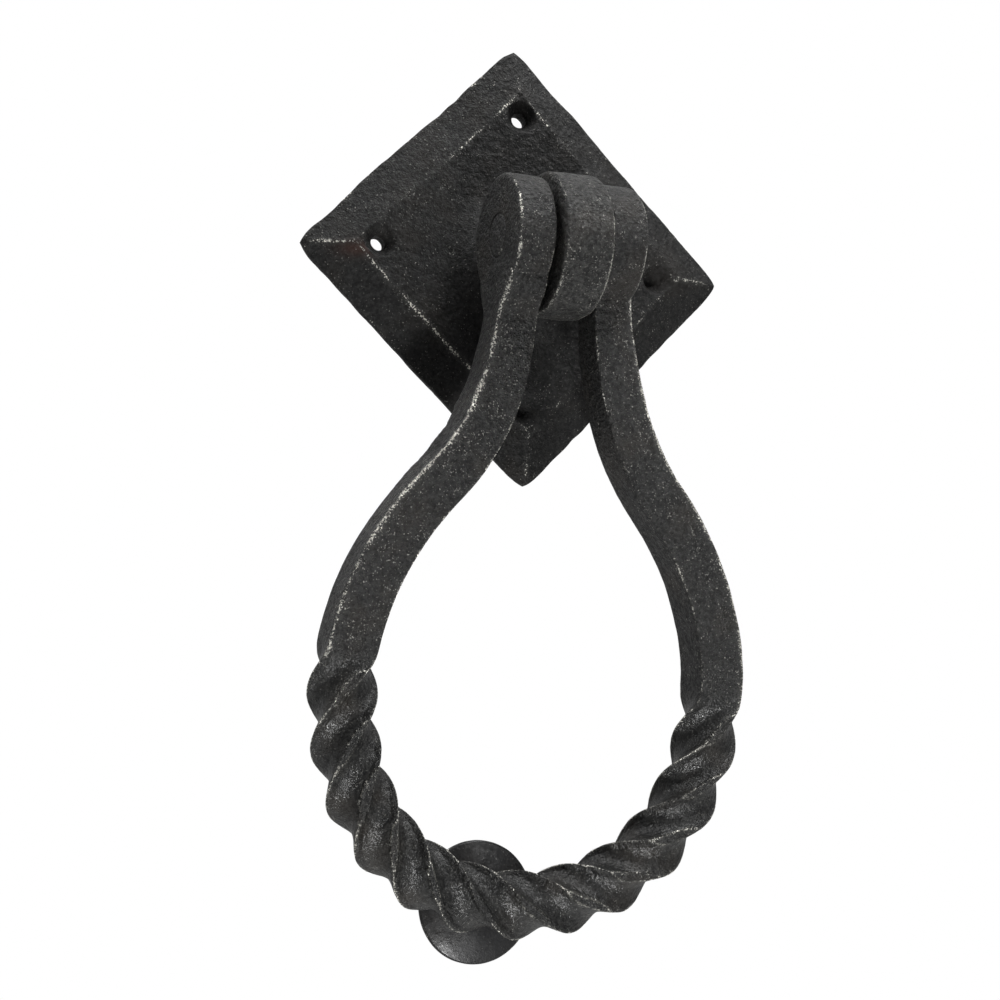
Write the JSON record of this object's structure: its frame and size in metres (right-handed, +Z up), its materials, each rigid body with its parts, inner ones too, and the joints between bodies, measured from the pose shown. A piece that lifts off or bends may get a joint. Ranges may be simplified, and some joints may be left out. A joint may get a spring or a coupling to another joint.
{
  "type": "door knocker",
  "caption": "Forged iron door knocker: a drop-shaped ring with a twisted bow hinged on a knuckle over a diamond back plate, with a domed strike stud below.",
  "frame": {"origin": "middle of the back plate's rear face, on the door's surface", "axes": "+Z up the door; +Y into the door, so the knocker stands out along -Y; +X to the right seen from in front"},
  "size_m": [0.1298, 0.0778, 0.2551],
  "materials": {
    "plate_iron": "forged black, waxed",
    "lug_iron": "forged black, worn brighter on its rim",
    "ring_iron": "forged black, worn bright along its edges",
    "pin_iron": "hammered black",
    "stud_iron": "smooth black, polished by the ring"
  },
  "bodies": {
    "base": {"back_plate": "plate_iron", "hinge_lug": "lug_iron", "strike_stud": "stud_iron"},
    "ring": {"knocker_ring": "ring_iron", "pivot_pin": "pin_iron"}
  },
  "joints": [
    {"name": "ring_swing", "type": "hinge", "parent": "base", "child": "ring", "pos_m": [0, -0.0327, -0.0025], "axis": [-1, 0, 0], "range_deg": [0, 194]}
  ]
}
